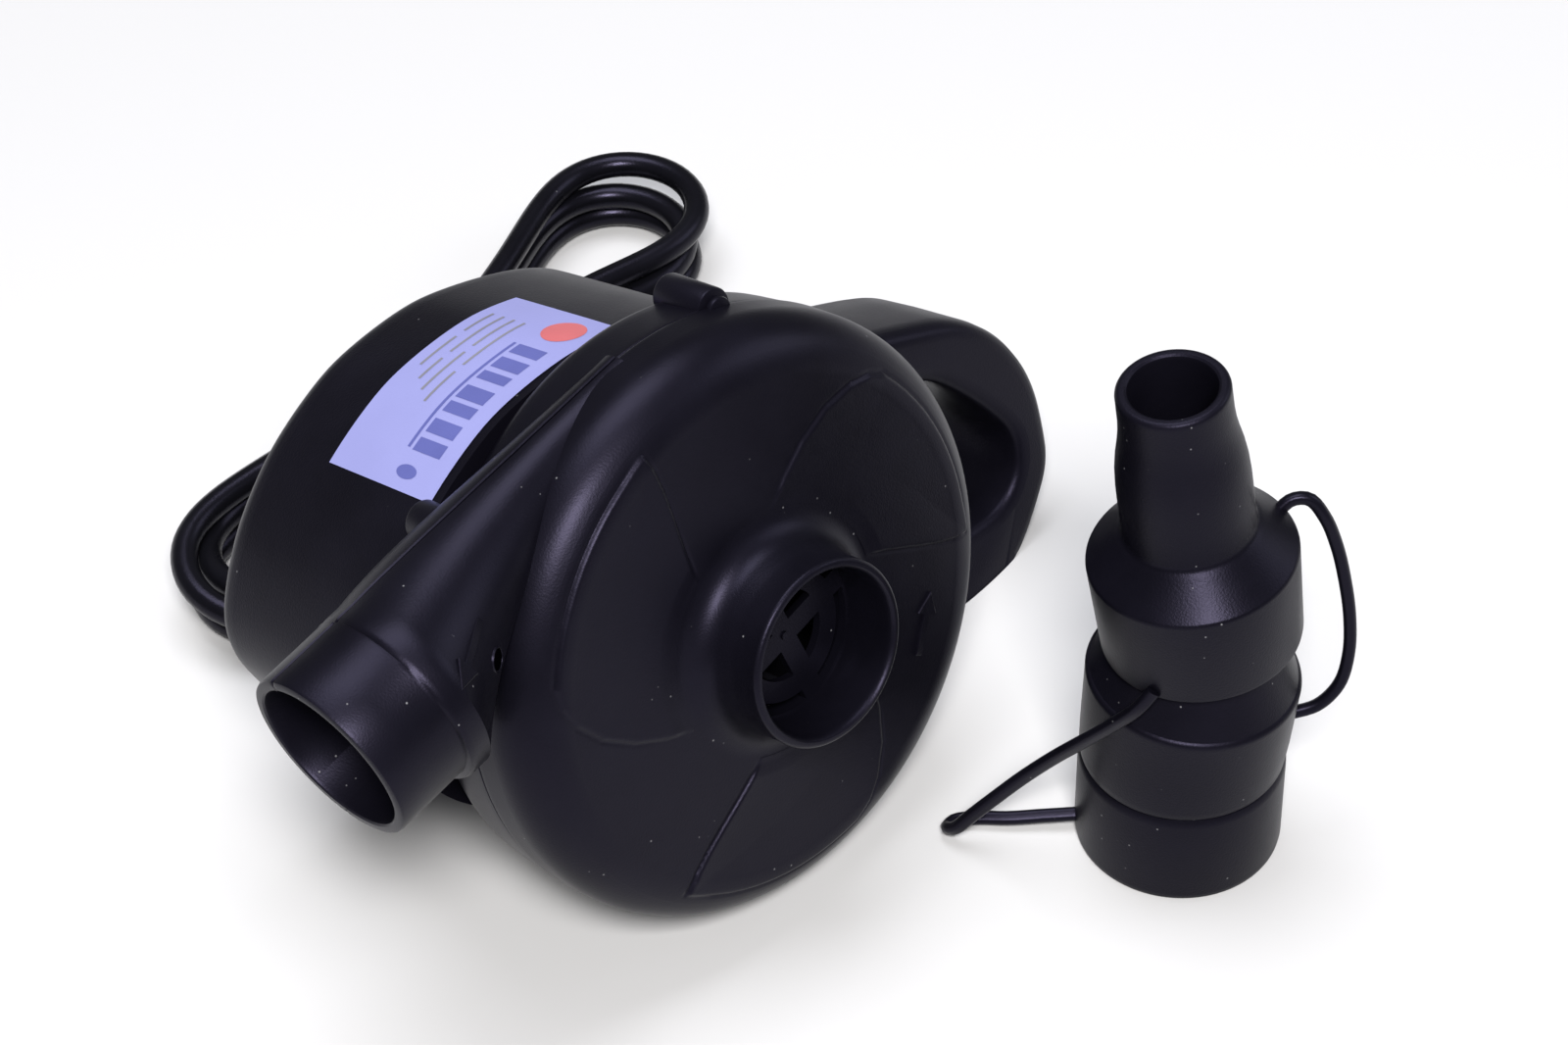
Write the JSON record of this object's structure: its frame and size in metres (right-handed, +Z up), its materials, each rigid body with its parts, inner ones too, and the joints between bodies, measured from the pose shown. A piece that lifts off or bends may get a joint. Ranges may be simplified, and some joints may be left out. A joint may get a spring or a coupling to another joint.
{
  "type": "electric air mattress pump",
  "caption": "Mains blower with a round fan casing, centre intake port, side outlet, carrying handle, folded lead, and tethered push-on nozzles standing beside it.",
  "frame": {"origin": "centre of the bounding box's base, on the floor, leaving out the lead, its hank and its plug", "axes": "+Z up from the floor; -Y is the side the intake faces; +X points towards the handle's side"},
  "size_m": [0.2057, 0.2305, 0.1095],
  "materials": {
    "casing": "satin moulded black plastic",
    "screw": "zinc plated steel",
    "label": "printed paper label",
    "grille": "matt black plastic",
    "impeller": "matt black plastic",
    "iron": "varnished lamination steel",
    "copper": "enamelled copper",
    "brass": "brass pressing",
    "carbon": "carbon graphite",
    "rocker": "glossy black plastic",
    "ivory": "ivory plastic",
    "wire": "insulated wire",
    "cord": "black vinyl cable sheath",
    "tie": "black twist tie",
    "pins": "nickel plated brass",
    "nozzle": "satin black plastic",
    "tether": "soft black plastic strap"
  },
  "bodies": {
    "pump": {"front_cover": "casing", "swirl_ribs": "casing", "flow_arrows": "casing", "port_grille": "casing", "rear_shell": "casing", "cover_screws": "screw", "motor_housing": "casing", "label": "label", "rear_grille": "grille", "stator_core": "iron", "field_coils": "copper", "tie_bolts": "screw", "bracket_front": "screw", "bracket_rear": "screw", "bearing_front": "screw", "bearing_rear": "screw", "brush_holders": "brass", "brushes": "carbon", "brush_springs": "screw", "switch_body": "grille", "terminal_block": "ivory", "wiring": "wire", "cord_clamp": "grille", "strain_relief": "cord", "cord": "cord", "cord_hank": "cord", "hank_tie": "tie", "plug_body": "cord", "plug_pins": "pins"},
    "rotor": {"impeller": "impeller", "impeller_nut": "screw", "motor_shaft": "screw", "armature_core": "iron", "armature_windings": "copper", "commutator": "copper", "cooling_fan": "impeller"},
    "rocker": {"switch_rocker": "rocker"},
    "adapter": {"bottom_adapter": "nozzle", "tether_a": "tether"},
    "middle": {"middle_adapter": "nozzle", "tether_b": "tether"},
    "tip": {"tip_nozzle": "nozzle"}
  },
  "joints": [
    {"name": "rotor_spin", "type": "hinge", "parent": "pump", "child": "rotor", "pos_m": [-0.0081, 0.0014, 0.05465], "axis": [0, -0.9659, 0.2588], "continuous": true},
    {"name": "switch_rock", "type": "hinge", "parent": "pump", "child": "rocker", "pos_m": [-0.01945, 0.06966, 0.06445], "axis": [0.848, -0.1372, -0.5119], "range_deg": [-9, 0]},
    {"name": "set_lift", "type": "slide", "parent": "pump", "child": "adapter", "axis": [0, 0, 1], "range_m": [0, 0.12]},
    {"name": "middle_pull", "type": "slide", "parent": "adapter", "child": "middle", "axis": [0.0429, -0.0435, 0.9981], "range_m": [0, 0.06], "deforming": ["tether_a"]},
    {"name": "tip_pull", "type": "slide", "parent": "middle", "child": "tip", "axis": [-0.0916, 0.0929, 0.9914], "range_m": [0, 0.06], "deforming": ["tether_b"]}
  ]
}
